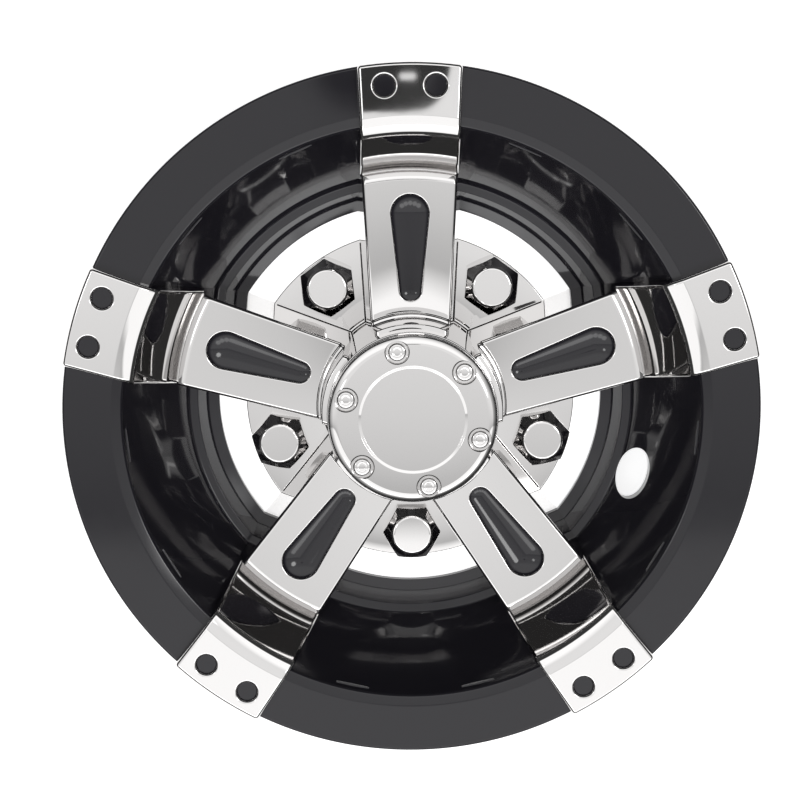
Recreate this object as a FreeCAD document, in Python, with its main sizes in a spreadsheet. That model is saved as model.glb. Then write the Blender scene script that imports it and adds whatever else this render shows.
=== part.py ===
import FreeCAD, Part
import os
import re
import Sketcher
from FreeCAD import Placement, Rotation, Vector

# Five-spoke wheel cover, moulded in one piece and open at the back.
# The hub axis is Z, the face looks up, and the back ring of the dish rests on Z = 0.

SIZES = [
    # outer ring
    ("rim_radius", 120.0, "outer radius of the rim band"),
    ("rim_height", 50.0, "height of the outer edge of the rim band"),
    ("band_rise", 0.2, "rise of the rim band from its edge to the shoulder"),
    ("skirt_depth", 8.0, "depth of the skirt under the rim edge"),
    ("wall", 2.5, "wall of the moulding"),
    ("shoulder_radius", 99.0, "radius of the corner behind the shoulder"),
    ("shoulder_out", 103.0, "radius where the rim band starts to turn down"),
    ("shoulder_turn", 100.2, "radius half way round that turn"),
    ("shoulder_turn_drop", 1.0, "fall of the shoulder half way round the turn"),
    ("shoulder_in", 97.4, "radius where the turn ends"),
    ("shoulder_in_drop", 3.6, "fall of the shoulder at the end of the turn"),
    ("rim_round", 1.0, "bevel of the rim edge"),
    # dish
    ("waist_radius", 92.0, "radius of the dish half way down, which hollows it"),
    ("waist_height", 34.0, "height of that place"),
    ("upper_step_radius", 82.0, "radius of the upper step line"),
    ("upper_step_height", 16.5, "height of the upper step line"),
    ("lower_step_radius", 77.5, "radius of the lower step line"),
    ("lower_step_height", 10.0, "height of the lower step line"),
    ("floor_radius", 74.3, "radius where the sloping floor starts"),
    ("floor_height", 4.0, "height where the sloping floor starts"),
    ("window_radius", 70.2, "inner radius of the dish, outer edge of the windows"),
    ("lip_height", 1.0, "height of the inner edge of the dish"),
    ("slope_wall", 2.9, "wall of the dish measured level"),
    ("back_drop", 1.0, "how much lower the corners of the dish lie on its back"),
    # hub
    ("hub_radius", 60.3, "radius of the hub plate"),
    ("hub_height", 3.6, "height of the hub plate face"),
    ("collar_foot", 32.0, "radius of the collar at the hub plate"),
    ("collar_top", 29.6, "radius of the collar under the cap"),
    ("cap_radius", 29.0, "radius of the centre cap"),
    ("cap_height", 53.0, "height of the cap face"),
    ("cap_depth", 5.5, "height of the cap edge"),
    ("cap_round", 2.2, "size of the bevelled cap edge"),
    ("cap_bevel", 0.7, "first bevel of the cap edge"),
    ("disc_radius", 18.4, "radius of the plain disc on the cap"),
    ("disc_sink", 0.7, "sink of the plain disc"),
    ("disc_slope", 0.9, "width of the sloping edge of the disc"),
    # spokes
    ("spoke_count", 5, "spokes"),
    ("spoke_top", 54.0, "height at which the spoke widths are given"),
    ("foot_height", 53.7, "height of the foot of a spoke"),
    ("foot_proud", 0.4, "how far a foot stands out past the rim"),
    ("foot_wrap", 4.0, "how far a foot wraps down over the rim edge"),
    ("foot_start", 102.5, "radius where the top of the foot ends"),
    ("turn_radius", 99.4, "radius half way round the turn of the foot"),
    ("turn_drop", 0.6, "fall of the foot half way round the turn"),
    ("foot_radius", 96.7, "radius where the wall under the foot starts"),
    ("foot_drop", 2.3, "fall of the foot at the start of that wall"),
    ("valley_radius", 84.0, "radius of the valley outside the plate"),
    ("valley_height", 26.6, "height of the valley"),
    ("plate_end", 82.9, "outer radius of the plate of a spoke"),
    ("plate_outer_height", 30.0, "height of the plate at its outer end"),
    ("plate_start", 32.6, "inner radius of the plate"),
    ("plate_inner_height", 26.2, "height of the plate at its inner end"),
    ("pad_start", 29.2, "radius of the pad at its upper edge"),
    ("pad_foot", 31.8, "radius of the pad at its lower edge"),
    ("pad_low", 38.5, "height of the lower edge of the pad"),
    ("pad_top", 47.2, "height of the pad under the cap"),
    ("width_inner", 11.7, "half width of a spoke at the collar"),
    ("width_plate", 14.6, "half width at the outer end of the plate"),
    ("width_foot", 16.6, "half width at the inner end of the foot"),
    ("width_end", 17.5, "half width at the rim"),
    ("draft", 5.0, "slope of the side walls in degrees"),
    ("end_round", 1.8, "size of the bevelled outer end of a foot"),
    ("end_bevel", 0.6, "first bevel of the outer end of a foot"),
    ("plate_round", 1.4, "bevel of the outer end of the plate"),
    ("plate_drop", 0.9, "fall of that bevel"),
    ("core_wall", 3.3, "wall under the valley"),
    ("core_side", 1.8, "how far the hollow stays behind the wall under the foot"),
    ("core_end", 3.5, "wall of a foot at the rim, with the skirt"),
    # slot in each spoke
    ("slot_outer", 68.6, "radius of the centre of the wide end of the slot"),
    ("slot_inner", 41.6, "radius of the centre of the narrow end"),
    ("slot_wide", 6.5, "radius of the wide end"),
    ("slot_narrow", 3.7, "radius of the narrow end"),
    ("slot_floor", 22.0, "height of the slot floor"),
    ("pan_wall", 1.8, "wall of the pan round the slot"),
    # recesses in each foot
    ("recess_ring", 112.4, "distance of the recesses from the hub axis"),
    ("recess_half", 8.6, "half distance between the two recesses of a foot"),
    ("recess_radius", 3.4, "radius of a recess"),
    ("recess_depth", 1.3, "depth of a recess"),
    # nuts
    ("nut_ring", 50.4, "radius of the circle of nuts"),
    ("nut_corner", 10.8, "radius over the corners of a nut"),
    ("nut_height", 9.8, "height of a nut above the hub plate"),
    ("nut_face", 6.7, "radius of the round face of a nut"),
    ("nut_straight", 4.4, "height of the straight part of a nut"),
    ("nut_hollow", 6.2, "radius of the hollow inside a nut"),
    # bolt heads on the cap
    ("bolt_count", 6, "bolt heads on the cap"),
    ("bolt_ring", 24.0, "radius of the circle of bolt heads"),
    ("bolt_turn", 102.6, "angle of the first bolt head"),
    ("bolt_sink_radius", 3.9, "radius of the sink round a bolt head"),
    ("bolt_sink_depth", 0.9, "depth of that sink"),
    ("bolt_radius", 3.1, "radius of a bolt head"),
    ("bolt_height", 0.7, "height of a bolt head above its sink"),
    # valve hole
    ("valve_ring", 84.3, "radius of the centre of the valve hole"),
    ("valve_turn", -18.4, "angle of the valve hole"),
    ("valve_half", 9.5, "half width of the valve hole across"),
    ("valve_radial", 4.8, "half width of the valve hole along the radius"),
    # clips behind the rim band
    ("clip_radius", 100.6, "outer radius of the clip legs"),
    ("clip_leg", 2.2, "wall of a clip leg"),
    ("clip_length", 15.0, "length of a clip leg under the rim band"),
    ("clip_barb", 1.6, "reach of the barb of a clip"),
    ("clip_barb_top", 4.8, "height of the barb above the end of the leg"),
    ("clip_half", 6.0, "half width of a clip"),
    ("clip_spread", 13.0, "angle of a clip from the middle of its window"),
]

os.makedirs("parts", exist_ok=True)
doc = FreeCAD.newDocument("wheel_cover")

sheet = doc.addObject("Spreadsheet::Sheet", "Sizes")
for row, (alias, value, note) in enumerate(SIZES, start=1):
    sheet.set(f"A{row}", note)
    sheet.set(f"B{row}", str(value))
    sheet.setAlias(f"B{row}", alias)
doc.recompute()

ALIASES = {alias for alias, _, _ in SIZES}
SPOKES = int(sheet.spoke_count)
BOLTS = int(sheet.bolt_count)


def bound(formula):
    """Write a formula of size names as an expression on the sheet."""
    return re.sub(r"[a-z_]+", lambda word: f"Sizes.{word[0]}" if word[0] in ALIASES else word[0], formula)


def worth(formula):
    """The number a formula has with the sizes in the sheet."""
    value = sheet.evalExpression(bound(formula))
    return float(getattr(value, "Value", value))


def bind(thing, prop, formula):
    thing.setExpression(prop, bound(formula))


def outline(sketch, corners):
    """Draw a closed outline, every corner held by two sizes of the sheet."""
    count = len(corners)
    places = [Vector(worth(across), worth(along), 0) for across, along in corners]
    for number in range(count):
        sketch.addGeometry(Part.LineSegment(places[number], places[(number + 1) % count]), False)
    for number in range(count):
        sketch.addConstraint(Sketcher.Constraint("Coincident", number, 2, (number + 1) % count, 1))
    for number, (across, along) in enumerate(corners):
        for kind, axis, formula, value in (("DistanceX", -2, across, places[number].x),
                                           ("DistanceY", -1, along, places[number].y)):
            if formula == "0":
                sketch.addConstraint(Sketcher.Constraint("PointOnObject", number, 1, axis))
            else:
                held = sketch.addConstraint(Sketcher.Constraint(kind, -1, 1, number, 1, value))
                bind(sketch, f"Constraints[{held}]", formula)


def upright_sketch(name, corners):
    """An outline of radius and height, standing in the XZ plane."""
    sketch = doc.addObject("Sketcher::SketchObject", name)
    sketch.Placement = Placement(Vector(), Rotation(Vector(1, 0, 0), 90))
    outline(sketch, corners)
    return sketch


def level_sketch(name, corners, height):
    """An outline of radius and side step, lying at a height."""
    sketch = doc.addObject("Sketcher::SketchObject", name)
    bind(sketch, "Placement.Base.z", height)
    outline(sketch, corners)
    return sketch


def turned_round(name, corners):
    """The round solid that an outline of radius and height gives about the hub axis."""
    sketch = upright_sketch(name + "_outline", corners)
    solid = doc.addObject("Part::Revolution", name)
    solid.Source = sketch
    solid.Axis = Vector(0, 0, 1)
    solid.Base = Vector()
    solid.Angle = 360
    solid.Solid = True
    return solid


def joined(name, parts):
    whole = doc.addObject("Part::MultiFuse", name)
    whole.Shapes = parts
    return whole


def shared(name, parts):
    common = doc.addObject("Part::MultiCommon", name)
    common.Shapes = parts
    return common


def cut_away(name, base, tool):
    left = doc.addObject("Part::Cut", name)
    left.Base = base
    left.Tool = tool
    return left


def turn_about_hub(thing, angle):
    """Turn a thing about the hub axis by an angle of the sheet."""
    thing.Placement = Placement(Vector(), Rotation(Vector(0, 0, 1), worth(angle)))
    bind(thing, "Placement.Rotation.Angle", angle)


def spread(thing, ring, angle, height):
    """Set a thing on a circle about the hub axis, turned to face the hub."""
    thing.Placement = Placement(Vector(), Rotation(Vector(0, 0, 1), worth(angle)))
    bind(thing, "Placement.Rotation.Angle", angle)
    bind(thing, "Placement.Base.x", f"{ring} * cos( {angle} )")
    bind(thing, "Placement.Base.y", f"{ring} * sin( {angle} )")
    bind(thing, "Placement.Base.z", height)


def spoke_angle(number):
    return f"( 90 deg + {number} * 360 deg / spoke_count )"


def window_angle(number):
    return f"( 90 deg + ( {number} + 0.5 ) * 360 deg / spoke_count )"


# Outer ring: skirt, rim band, shoulder, hollow dish with two steps, and the sloping floor.
dish = turned_round(
    "dish",
    [
        ("rim_radius", "rim_height - skirt_depth"),
        ("rim_radius", "rim_height - rim_round"),
        ("rim_radius - rim_round", "rim_height"),
        ("shoulder_out", "rim_height + band_rise"),
        ("shoulder_turn", "rim_height + band_rise - shoulder_turn_drop"),
        ("shoulder_in", "rim_height + band_rise - shoulder_in_drop"),
        ("waist_radius", "waist_height"),
        ("upper_step_radius", "upper_step_height"),
        ("lower_step_radius", "lower_step_height"),
        ("floor_radius", "floor_height"),
        ("window_radius", "lip_height"),
        ("window_radius", "0"),
        ("floor_radius + slope_wall", "0"),
        ("lower_step_radius + slope_wall", "lower_step_height - back_drop"),
        ("upper_step_radius + slope_wall", "upper_step_height - back_drop"),
        ("waist_radius + slope_wall", "waist_height - back_drop"),
        ("shoulder_radius + slope_wall", "rim_height + band_rise - wall"),
        ("rim_radius - wall", "rim_height - wall"),
        ("rim_radius - wall", "rim_height - skirt_depth"),
    ],
)

# Hub plate, collar and centre cap, hollow from behind.
hub = turned_round(
    "hub",
    [
        ("0", "cap_height - disc_sink"),
        ("disc_radius - disc_slope", "cap_height - disc_sink"),
        ("disc_radius", "cap_height"),
        ("cap_radius - cap_round", "cap_height"),
        ("cap_radius - cap_bevel", "cap_height - cap_bevel"),
        ("cap_radius", "cap_height - cap_round"),
        ("cap_radius", "cap_height - cap_depth"),
        ("collar_top", "cap_height - cap_depth"),
        ("collar_foot", "hub_height"),
        ("hub_radius", "hub_height"),
        ("hub_radius", "hub_height - wall"),
        ("collar_foot - wall", "hub_height - wall"),
        ("collar_top - wall", "cap_height - cap_depth - wall"),
        ("collar_top - wall", "cap_height - disc_sink - wall"),
        ("0", "cap_height - disc_sink - wall"),
    ],
)

# Spokes: a round form gives the line from the cap to the foot, five sloping wedges give the sides.
spoke_form = turned_round(
    "spoke_form",
    [
        ("collar_top - wall / 2", "pad_top"),
        ("pad_start", "pad_top"),
        ("pad_foot", "pad_low"),
        ("plate_start", "plate_inner_height"),
        ("plate_end - plate_round", "plate_outer_height"),
        ("plate_end", "plate_outer_height - plate_drop"),
        ("valley_radius", "valley_height"),
        ("foot_radius", "foot_height - foot_drop"),
        ("turn_radius", "foot_height - turn_drop"),
        ("foot_start", "foot_height"),
        ("rim_radius + foot_proud - end_round", "foot_height"),
        ("rim_radius + foot_proud - end_bevel", "foot_height - end_bevel"),
        ("rim_radius + foot_proud", "foot_height - end_round"),
        ("rim_radius + foot_proud", "rim_height - foot_wrap"),
        ("rim_radius - wall / 2", "rim_height - foot_wrap"),
        ("rim_radius - wall / 2", "rim_height - wall / 2"),
        ("shoulder_radius + slope_wall / 2", "rim_height - wall / 2"),
        ("waist_radius + slope_wall / 2", "waist_height - back_drop"),
        ("upper_step_radius + slope_wall / 2", "upper_step_height - back_drop"),
        ("lower_step_radius + slope_wall / 2", "lower_step_height - back_drop"),
        ("floor_radius + slope_wall / 2", "hub_height - wall"),
        ("collar_foot - wall / 2", "hub_height - wall"),
    ],
)
core_form = turned_round(
    "core_form",
    [
        ("plate_start", "0 - wall"),
        ("plate_start", "plate_inner_height - wall"),
        ("plate_end - wall", "plate_outer_height - wall"),
        ("valley_radius - wall / 2", "valley_height - core_wall"),
        ("valley_radius + core_side", "valley_height - core_wall"),
        ("foot_radius + core_side", "foot_height - foot_drop - wall"),
        ("foot_start", "foot_height - wall"),
        ("rim_radius - core_end", "foot_height - wall"),
        ("rim_radius - core_end", "0 - wall"),
    ],
)


def plan(name, less, height, widen, near, far):
    """Outline of a spoke seen from the front, less a wall on each side."""
    reach = f"spoke_top * tan( draft * 1 deg ) * {widen}"
    halves = [
        (near, f"width_inner + {reach} - {less}"),
        ("plate_end", f"width_plate + {reach} - {less}"),
        ("foot_radius", f"width_foot + {reach} - {less}"),
        (far, f"width_end + {reach} - {less}"),
    ]
    left = [(along, f"0 - ( {half} )") for along, half in reversed(halves)]
    return level_sketch(name, halves + left, height)


def wedges(name, less, near, far):
    top = plan(name + "_plan_top", less, "spoke_top", "0", near, far)
    low = plan(name + "_plan_low", less, "0 - wall", "1", near, far)
    parts = []
    for number in range(SPOKES):
        wedge = doc.addObject("Part::Loft", f"{name}_{number + 1}")
        wedge.Sections = [top, low]
        wedge.Solid = True
        wedge.Ruled = True
        turn_about_hub(wedge, spoke_angle(number))
        parts.append(wedge)
    return joined(name, parts)


spoke_wedges = wedges("spoke_wedges", "0", "collar_top - 2 * wall", "rim_radius + wall")
core_wedges = wedges("core_wedges", "wall", "plate_start", "rim_radius + wall")
spokes = shared("spokes", [spoke_form, spoke_wedges])
cores = shared("cores", [core_form, core_wedges])


# Nuts on the hub plate, six-sided, with a sloping top and a round face, hollow from behind.
nuts = []
nut_hollows = []
for number in range(SPOKES):
    angle = window_angle(number)
    prism = doc.addObject("Part::Prism", f"nut_prism_{number + 1}")
    prism.Polygon = 6
    bind(prism, "Circumradius", "nut_corner")
    bind(prism, "Height", "nut_height + wall / 2")
    spread(prism, "nut_ring", f"( {angle} + 30 deg )", "hub_height - wall / 2")
    bind(prism, "Placement.Base.x", f"nut_ring * cos( {angle} )")
    bind(prism, "Placement.Base.y", f"nut_ring * sin( {angle} )")
    cone = doc.addObject("Part::Cone", f"nut_cone_{number + 1}")
    spread_per_height = "( nut_corner - nut_face ) / ( nut_height - nut_straight )"
    bind(cone, "Radius1", f"nut_corner + nut_straight * {spread_per_height}")
    bind(cone, "Radius2", "nut_face")
    bind(cone, "Height", "nut_height")
    spread(cone, "nut_ring", angle, "hub_height")
    post = doc.addObject("Part::Cylinder", f"nut_post_{number + 1}")
    bind(post, "Radius", "nut_corner")
    bind(post, "Height", "wall / 2")
    spread(post, "nut_ring", angle, "hub_height - wall / 2")
    nuts.append(shared(f"nut_{number + 1}", [prism, joined(f"nut_top_{number + 1}", [cone, post])]))
    hollow = doc.addObject("Part::Cylinder", f"nut_hollow_{number + 1}")
    bind(hollow, "Radius", "nut_hollow")
    bind(hollow, "Height", "nut_height")
    spread(hollow, "nut_ring", angle, "hub_height - wall")
    nut_hollows.append(hollow)


# Slots: a sunk pan in the plate of each spoke, wide at the rim end.
def teardrop(name, more, bottom, top):
    """Five round-ended slots, a size wider than the slot of the sheet."""
    parts = []
    for number in range(SPOKES):
        angle = spoke_angle(number)
        ends = []
        for end, ring, radius in (
            ("wide", "slot_outer", "slot_wide"),
            ("narrow", "slot_inner", "slot_narrow"),
        ):
            drum = doc.addObject("Part::Cylinder", f"{name}_{end}_{number + 1}")
            bind(drum, "Radius", f"{radius} + {more}")
            bind(drum, "Height", f"{top} - ( {bottom} )")
            spread(drum, ring, angle, bottom)
            ends.append(drum)
        sides = level_sketch(
            f"{name}_sides_{number + 1}",
            [
                ("slot_inner", f"slot_narrow + {more}"),
                ("slot_inner", f"0 - ( slot_narrow + {more} )"),
                ("slot_outer", f"0 - ( slot_wide + {more} )"),
                ("slot_outer", f"slot_wide + {more}"),
            ],
            bottom,
        )
        turn_about_hub(sides, angle)
        between = doc.addObject("Part::Extrusion", f"{name}_between_{number + 1}")
        between.Base = sides
        between.DirMode = "Custom"
        between.Dir = Vector(0, 0, 1)
        between.Solid = True
        bind(between, "LengthFwd", f"{top} - ( {bottom} )")
        parts += ends + [between]
    return joined(name, parts)


pan_form = turned_round(
    "pan_form",
    [
        ("plate_start", "slot_floor - pan_wall"),
        ("plate_end", "slot_floor - pan_wall"),
        ("plate_end", "plate_outer_height - wall / 2"),
        ("plate_start", "plate_inner_height - wall / 2"),
    ],
)
pan_plan = teardrop("pan_plan", "pan_wall", "slot_floor - 2 * pan_wall", "plate_outer_height")
pans = shared("pans", [pan_form, pan_plan])
slots = teardrop("slots", "0", "slot_floor", "plate_outer_height + wall")

# Two shallow round recesses in each foot.
recesses = []
for number in range(SPOKES):
    for side, sign in (("left", ""), ("right", "0 - ")):
        recess = doc.addObject("Part::Cylinder", f"recess_{side}_{number + 1}")
        bind(recess, "Radius", "recess_radius")
        bind(recess, "Height", "recess_depth + wall")
        angle = spoke_angle(number)
        aside = f"( {sign} recess_half )"
        bind(recess, "Placement.Base.x", f"recess_ring * cos( {angle} ) - {aside} * sin( {angle} )")
        bind(recess, "Placement.Base.y", f"recess_ring * sin( {angle} ) + {aside} * cos( {angle} )")
        bind(recess, "Placement.Base.z", "foot_height - recess_depth")
        recesses.append(recess)

# Bolt heads in round sinks on the cap.
sinks = []
for number in range(BOLTS):
    angle = f"( bolt_turn * 1 deg + {number} * 360 deg / bolt_count )"
    sink = doc.addObject("Part::Cylinder", f"bolt_sink_{number + 1}")
    bind(sink, "Radius", "bolt_sink_radius")
    bind(sink, "Height", "bolt_sink_depth + wall")
    spread(sink, "bolt_ring", angle, "cap_height - bolt_sink_depth")
    head = doc.addObject("Part::Cylinder", f"bolt_head_{number + 1}")
    bind(head, "Radius", "bolt_radius")
    bind(head, "Height", "bolt_height")
    spread(head, "bolt_ring", angle, "cap_height - bolt_sink_depth")
    sinks.append(cut_away(f"bolt_gap_{number + 1}", sink, head))

# Long hole for the valve, through the dish along the hub axis, round at both ends.
valve_way = "( valve_turn * 1 deg )"
valve_parts = []
for side, sign in (("left", "0 - "), ("right", "")):
    aside = f"( {sign} ( valve_half - valve_radial ) )"
    drum = doc.addObject("Part::Cylinder", f"valve_end_{side}")
    bind(drum, "Radius", "valve_radial")
    bind(drum, "Height", "foot_height")
    bind(drum, "Placement.Base.x", f"valve_ring * cos( {valve_way} ) - {aside} * sin( {valve_way} )")
    bind(drum, "Placement.Base.y", f"valve_ring * sin( {valve_way} ) + {aside} * cos( {valve_way} )")
    bind(drum, "Placement.Base.z", "0 - wall")
    valve_parts.append(drum)
valve_middle = doc.addObject("Part::Box", "valve_middle")
bind(valve_middle, "Length", "2 * valve_radial")
bind(valve_middle, "Width", "2 * ( valve_half - valve_radial )")
bind(valve_middle, "Height", "foot_height")
near = "( valve_ring - valve_radial )"
aside = "( valve_half - valve_radial )"
valve_middle.Placement = Placement(Vector(), Rotation(Vector(0, 0, 1), worth(valve_way)))
bind(valve_middle, "Placement.Rotation.Angle", valve_way)
bind(valve_middle, "Placement.Base.x", f"{near} * cos( {valve_way} ) + {aside} * sin( {valve_way} )")
bind(valve_middle, "Placement.Base.y", f"{near} * sin( {valve_way} ) - {aside} * cos( {valve_way} )")
bind(valve_middle, "Placement.Base.z", "0 - wall")
valve = joined("valve_hole", valve_parts + [valve_middle])

# Clips behind the rim band, two to a window, each a leg with a barb that grips the wheel.
clip_form = turned_round(
    "clip_form",
    [
        ("clip_radius - clip_leg", "rim_height + band_rise - wall / 2"),
        ("clip_radius - clip_leg", "rim_height - clip_length"),
        ("clip_radius", "rim_height - clip_length"),
        ("clip_radius + clip_barb", "rim_height - clip_length + clip_barb"),
        ("clip_radius", "rim_height - clip_length + clip_barb_top"),
        ("clip_radius", "rim_height + band_rise - wall / 2"),
    ],
)
clip_blocks = []
for number in range(SPOKES):
    for side, sign in (("left", "+"), ("right", "-")):
        block = doc.addObject("Part::Box", f"clip_block_{side}_{number + 1}")
        angle = f"( {window_angle(number)} {sign} clip_spread * 1 deg )"
        bind(block, "Length", "4 * clip_leg + 2 * clip_barb")
        bind(block, "Width", "2 * clip_half")
        bind(block, "Height", "clip_length + wall")
        reach = "( clip_radius - 2 * clip_leg )"
        block.Placement = Placement(Vector(), Rotation(Vector(0, 0, 1), worth(angle)))
        bind(block, "Placement.Rotation.Angle", angle)
        bind(block, "Placement.Base.x", f"{reach} * cos( {angle} ) + clip_half * sin( {angle} )")
        bind(block, "Placement.Base.y", f"{reach} * sin( {angle} ) - clip_half * cos( {angle} )")
        bind(block, "Placement.Base.z", "rim_height - clip_length")
        clip_blocks.append(block)
clips = shared("clips", [clip_form, joined("clip_blocks", clip_blocks)])

# One moulding: join the forms, hollow the spokes from behind round the pans, then sink all else.
dish_with_clips = joined("dish_with_clips", [dish, clips])
hub_with_nuts = joined("hub_with_nuts", [hub] + nuts)
shell = joined("shell", [dish_with_clips, spokes, hub_with_nuts])
spoke_hollows = cut_away("spoke_hollows", cores, pans)
hollowed = cut_away("hollowed", shell, spoke_hollows)
sinkings = joined("sinkings", [slots, valve] + recesses + nut_hollows + sinks)
cover = cut_away("wheel_cover_solid", hollowed, sinkings)

doc.recompute()

for thing in doc.Objects:
    if any(word in thing.State for word in ("Invalid", "Error")):
        raise RuntimeError(f"{thing.Name} did not build: {thing.State}")
    if thing.TypeId.startswith("Part::"):
        if thing.Shape.isNull() or not thing.Shape.isValid():
            raise RuntimeError(f"{thing.Name} has no sound shape")
if len(cover.Shape.Solids) != 1:
    raise RuntimeError(f"the cover is {len(cover.Shape.Solids)} solids")

cover.Shape.exportStep("parts/wheel_cover.step")
box = cover.Shape.BoundBox
print(f"wheel_cover {box.XLength:.1f} x {box.YLength:.1f} x {box.ZLength:.1f} mm")
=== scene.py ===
import math

import bmesh
import bpy
import numpy as np
from mathutils import Matrix, Vector
from mathutils.kdtree import KDTree


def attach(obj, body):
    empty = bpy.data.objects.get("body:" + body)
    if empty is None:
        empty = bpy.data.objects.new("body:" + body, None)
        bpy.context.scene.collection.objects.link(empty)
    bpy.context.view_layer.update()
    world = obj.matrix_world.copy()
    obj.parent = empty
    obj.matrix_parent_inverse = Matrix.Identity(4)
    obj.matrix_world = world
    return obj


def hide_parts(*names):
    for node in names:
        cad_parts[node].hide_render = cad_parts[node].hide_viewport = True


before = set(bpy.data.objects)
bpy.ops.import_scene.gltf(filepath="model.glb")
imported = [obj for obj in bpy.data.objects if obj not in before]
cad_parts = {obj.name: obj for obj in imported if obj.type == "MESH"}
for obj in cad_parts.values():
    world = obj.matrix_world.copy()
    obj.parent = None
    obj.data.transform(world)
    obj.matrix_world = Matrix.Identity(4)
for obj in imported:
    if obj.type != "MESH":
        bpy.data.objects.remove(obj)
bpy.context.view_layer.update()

# All sizes are in millimetres: radii from the hub axis and heights above the floor the cover lies on.
MM = 0.001
WALL = 2.5
SPOKES = 5
TURN = 2 * math.pi / SPOKES
FIRST_SPOKE = math.radians(90)
FIRST_WINDOW = FIRST_SPOKE + TURN / 2

# Fineness of curves, and small allowances
ARC_STEP = 9.0
LEAST_PIECES = 3
SIDE_SHARE = 0.49
ROUND_COLUMNS = 360
MERGE = 0.0008
SEAM_MERGE = 0.02
HAIR = 0.02
TINY = 1e-9
AXIS = 0.001
AXIS_GAP = 0.01
SKIN = 1.2
CREASE_TURNED = 50.0
CREASE_FLAT = 40.0

# How close a face lies to the line it was turned from, in place and in slope, to be shaded by it
ON_LINE = 1.0
FACING = 0.95
TURNED_AWAY = 100

RIM_RADIUS = 120.0
RIM_HEIGHT = 50.0
SHOULDER = [(103.4, 50.0, 2.5), (99.8, 49.1, 1.5)]
SKIRT_DEPTH = 8.0
SKIRT_ROOT = 2.0
WAIST = (92.0, 34.0)
UPPER_STEP = (80.4, 11.4)
LOWER_STEP = (77.3, 11.0)
FLOOR_START = (74.0, 4.2)
WINDOW_RADIUS = 70.2
LIP_HEIGHT = 2.9
SLOPE_WALL = 2.9
DISH_TUCK = 0.9
DISH_COLUMNS = 64

HUB_RADIUS = 60.3
HUB_HEIGHT = 3.6
COLLAR_FOOT = 32.0
COLLAR_TOP = 29.6
CAP_RADIUS = 29.0
CAP_HEIGHT = 53.0
CAP_DEPTH = 5.5
CAP_ROUND = 2.4
DISC_RADIUS = 18.4
DISC_SINK = 0.3
COLLAR_FLANGE = 1.3
CAP_COLUMNS = 240
PLATE_TUCK = 1.2
PLATE_COLUMNS = 40

SPOKE_TOP = 54.0
FOOT_HEIGHT = 53.7
FOOT_LOW = RIM_HEIGHT - 4.0
FOOT_END = 120.35
FOOT_CORNER = 1.4
EDGE_ROUND = 1.3
FILLET = 0.45
DRAFT = math.tan(math.radians(5.0))
SPOKE_LINE = [
    # radius, height, rounding of the corner
    (27.5, 42.1, 0.0),
    (29.4, 42.0, 0.3),
    (31.6, 41.75, 0.5),
    (32.2, 28.4, 0.4),
    (33.3, 28.2, 0.4),
    (33.7, 26.55, 0.4),
    (80.9, 29.86, 4.0),
    (83.0, 29.1, 0.4),
    (83.4, 23.5, 0.3),
    (86.8, 31.9, 3.0),
    (96.3, 51.9, 3.0),
    (99.5, 53.17, 28.0),
    (102.5, 53.7, 0.2),
    (FOOT_END, FOOT_HEIGHT, 0.0),
]
# radius, half width of a spoke there
SPOKE_PLAN = [(20.0, 11.1), (82.9, 14.6), (97.0, 16.6), (121.0, 17.55)]
STRAIGHT_END = FOOT_END - FOOT_CORNER
END_GAP = 0.3
FLAT_FROM = 102.9
# from radius, to radius, rows of points between them
STATION_RUNS = [(33.6, 81.5, 33), (85, 95, 14), (FLAT_FROM, STRAIGHT_END, 9)]
STATION_GAP = 0.02
ACROSS = 12
EDGE_STEPS = 6
WALL_STEPS = 4
LEAST_WALL = 0.5
FILLET_STEPS = 5
GAIN_STEP = 2
CORNER_STEPS = 8
END_STEPS = 12
LEAN_REACH = 0.03
LEAN_FACING = 0.3

SLOT_OUTER = 68.6
SLOT_INNER = 41.6
SLOT_WIDE = 6.5
SLOT_NARROW = 3.7
SLOT_ROUND = 0.7
SLOT_LIP = 0.9
SLOT_BOWL = 0.22
SLOT_MARGIN = 2.4
TIP_STEPS = 8
SIDE_STEPS = 24
BELLY_STEPS = 12
ROLL_STEPS = 5
BOWL_STEPS = 12
BOWL_START = 0.01

RECESS_RING = 112.4
RECESS_HALF = 8.6
RECESS_RADIUS = 3.4
RECESS_ROUND = 1.0
RECESS_DEPTH = 1.3
RECESS_SINK = 0.8
RECESS_BEVEL = 0.2
RECESS_STEPS = 40

NUT_RING = 50.4
NUT_FLATS = 9.35
NUT_HEIGHT = 9.8
NUT_FACE = 6.2
NUT_ROLL = 1.6
NUT_LEAN = math.radians(50)
NUT_ROOT = 1.0
NUT_STEPS = 120
NUT_LEVELS = 12
NUT_SOFT = 0.35
NUT_CREASE = math.radians(24)

BOLT_COUNT = 6
BOLT_RING = 24.0
BOLT_TURN = math.radians(102.6)
BOLT_SINK = 3.9
BOLT_SINK_DEPTH = 1.3
BOLT_RADIUS = 3.1
BOLT_HEIGHT = 1.4
BOLT_STEPS = 48
SINK_STEPS = 64
SINK_LINE = [
    # radius from the middle of a sink, height from the cap face
    (BOLT_SINK - 0.2, -BOLT_SINK_DEPTH),
    (BOLT_SINK - 0.1, -0.55),
    (BOLT_SINK, -0.32),
    (BOLT_SINK + 0.15, -0.16),
    (BOLT_SINK + 0.4, 0.0),
    (BOLT_SINK + 0.6, 3.0),
]

VALVE_RING = 84.3
VALVE_TURN = math.radians(-18.4)
VALVE_HALF = 9.5
VALVE_RADIAL = 4.8
VALVE_HEIGHT = 22.0
VALVE_LEAN = (-0.06, 0.05)
VALVE_REACH = (-10.0, 70.0)
VALVE_STEPS = 96

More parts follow.
